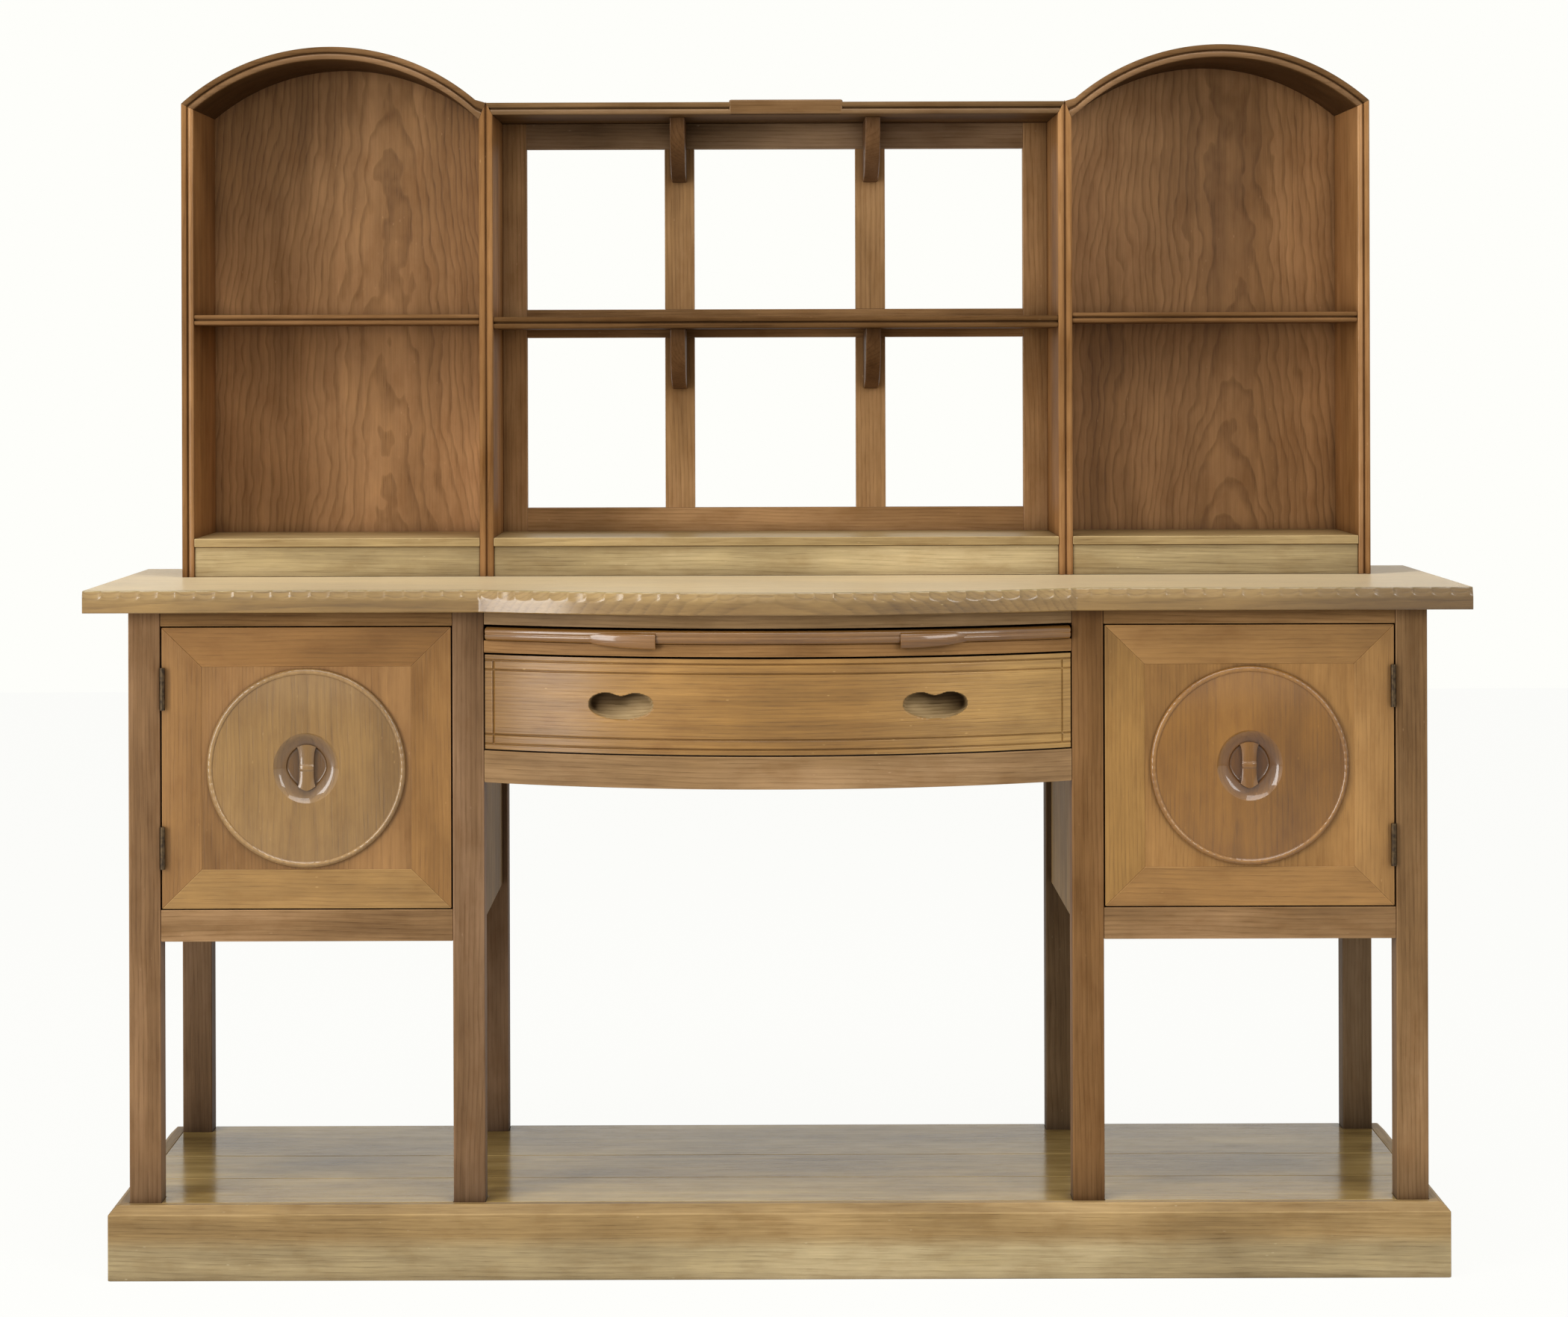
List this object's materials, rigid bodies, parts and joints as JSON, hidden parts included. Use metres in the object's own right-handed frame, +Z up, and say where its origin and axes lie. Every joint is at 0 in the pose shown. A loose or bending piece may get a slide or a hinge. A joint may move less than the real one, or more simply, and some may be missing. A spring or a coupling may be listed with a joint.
{
  "type": "dresser",
  "caption": "Free-standing oak dresser: arched plate rack over cupboards with carved roundel doors, a bow-fronted drawer, a pull-out slide and a pot board.",
  "frame": {"origin": "middle of the overall footprint on the floor", "axes": "+X along the length, to the right seen from the front; +Y from front to back; +Z up"},
  "size_m": [1.829, 0.643, 1.651],
  "materials": {
    "worktop_oak": "polished oak with gouge-cut front edge",
    "leg_oak": "stained and polished oak",
    "carcass_oak": "stained and polished oak",
    "plinth_oak": "rubbed oak, worn along the lower edge",
    "pot_board_oak": "polished oak boards",
    "inner_oak": "plain unpolished oak",
    "door_oak": "golden brown polished oak",
    "roundel_oak": "carved and polished oak",
    "drawer_oak": "golden brown polished oak",
    "slide_oak": "polished oak",
    "rack_oak": "dark stained and polished oak",
    "rack_panel_oak": "dark stained oak board with wild grain",
    "ledge_oak": "pale rubbed oak",
    "hinge_metal": "dark aged brass"
  },
  "bodies": {
    "root": {"worktop": "worktop_oak", "leg_front_outer_left": "leg_oak", "leg_front_outer_right": "leg_oak", "leg_front_inner_left": "leg_oak", "leg_front_inner_right": "leg_oak", "leg_back_outer_left": "leg_oak", "leg_back_outer_right": "leg_oak", "leg_back_inner_left": "leg_oak", "leg_back_inner_right": "leg_oak", "plinth_front": "plinth_oak", "plinth_left": "plinth_oak", "plinth_right": "plinth_oak", "pot_board_planks": "pot_board_oak", "pot_board_bearers": "inner_oak", "pot_board_back_rails": "inner_oak", "cupboard_outer_side_left": "carcass_oak", "cupboard_inner_side_left": "carcass_oak", "cupboard_outer_side_right": "carcass_oak", "cupboard_inner_side_right": "carcass_oak", "cupboard_top_rails": "carcass_oak", "cupboard_low_rails": "carcass_oak", "cupboard_floors": "inner_oak", "cupboard_backs": "inner_oak", "door_stops": "inner_oak", "frieze_rail": "carcass_oak", "divider_rail": "carcass_oak", "apron_rail": "carcass_oak", "centre_back": "inner_oak", "drawer_runners": "inner_oak", "slide_runners": "inner_oak", "hinge_fixed_leaves": "hinge_metal", "rack_side_left": "rack_oak", "rack_side_right": "rack_oak", "rack_divider_left": "rack_oak", "rack_divider_right": "rack_oak", "rack_arch_left": "rack_oak", "rack_arch_right": "rack_oak", "rack_top_board": "rack_oak", "rack_tablet": "rack_oak", "rack_side_shelves": "rack_oak", "rack_centre_shelf": "rack_oak", "rack_back_panels": "rack_panel_oak", "rack_back_frame": "rack_oak", "rack_brackets": "rack_oak", "rack_floors": "ledge_oak", "rack_fascias": "ledge_oak"},
    "door_left": {"door_frame_left": "door_oak", "door_panel_left": "door_oak", "door_roundel_left": "roundel_oak", "hinge_leaves_left": "hinge_metal"},
    "door_right": {"door_frame_right": "door_oak", "door_panel_right": "door_oak", "door_roundel_right": "roundel_oak", "hinge_leaves_right": "hinge_metal"},
    "drawer": {"drawer_front": "drawer_oak", "drawer_sides": "inner_oak", "drawer_back": "inner_oak", "drawer_bottom": "inner_oak"},
    "slide": {"slide_board": "slide_oak", "slide_grips": "slide_oak"}
  },
  "joints": [
    {"name": "door_left_swing", "type": "hinge", "parent": "root", "child": "door_left", "pos_m": [-0.8133, -0.2073, 0.6725], "axis": [0, 0, -1], "range_deg": [0, 110]},
    {"name": "door_right_swing", "type": "hinge", "parent": "root", "child": "door_right", "pos_m": [0.8133, -0.2073, 0.6725], "axis": [0, 0, 1], "range_deg": [0, 110]},
    {"name": "drawer_pull", "type": "slide", "parent": "root", "child": "drawer", "axis": [0, -1, 0], "range_m": [0, 0.33]},
    {"name": "slide_pull", "type": "slide", "parent": "root", "child": "slide", "axis": [0, -1, 0], "range_m": [0, 0.3]}
  ]
}
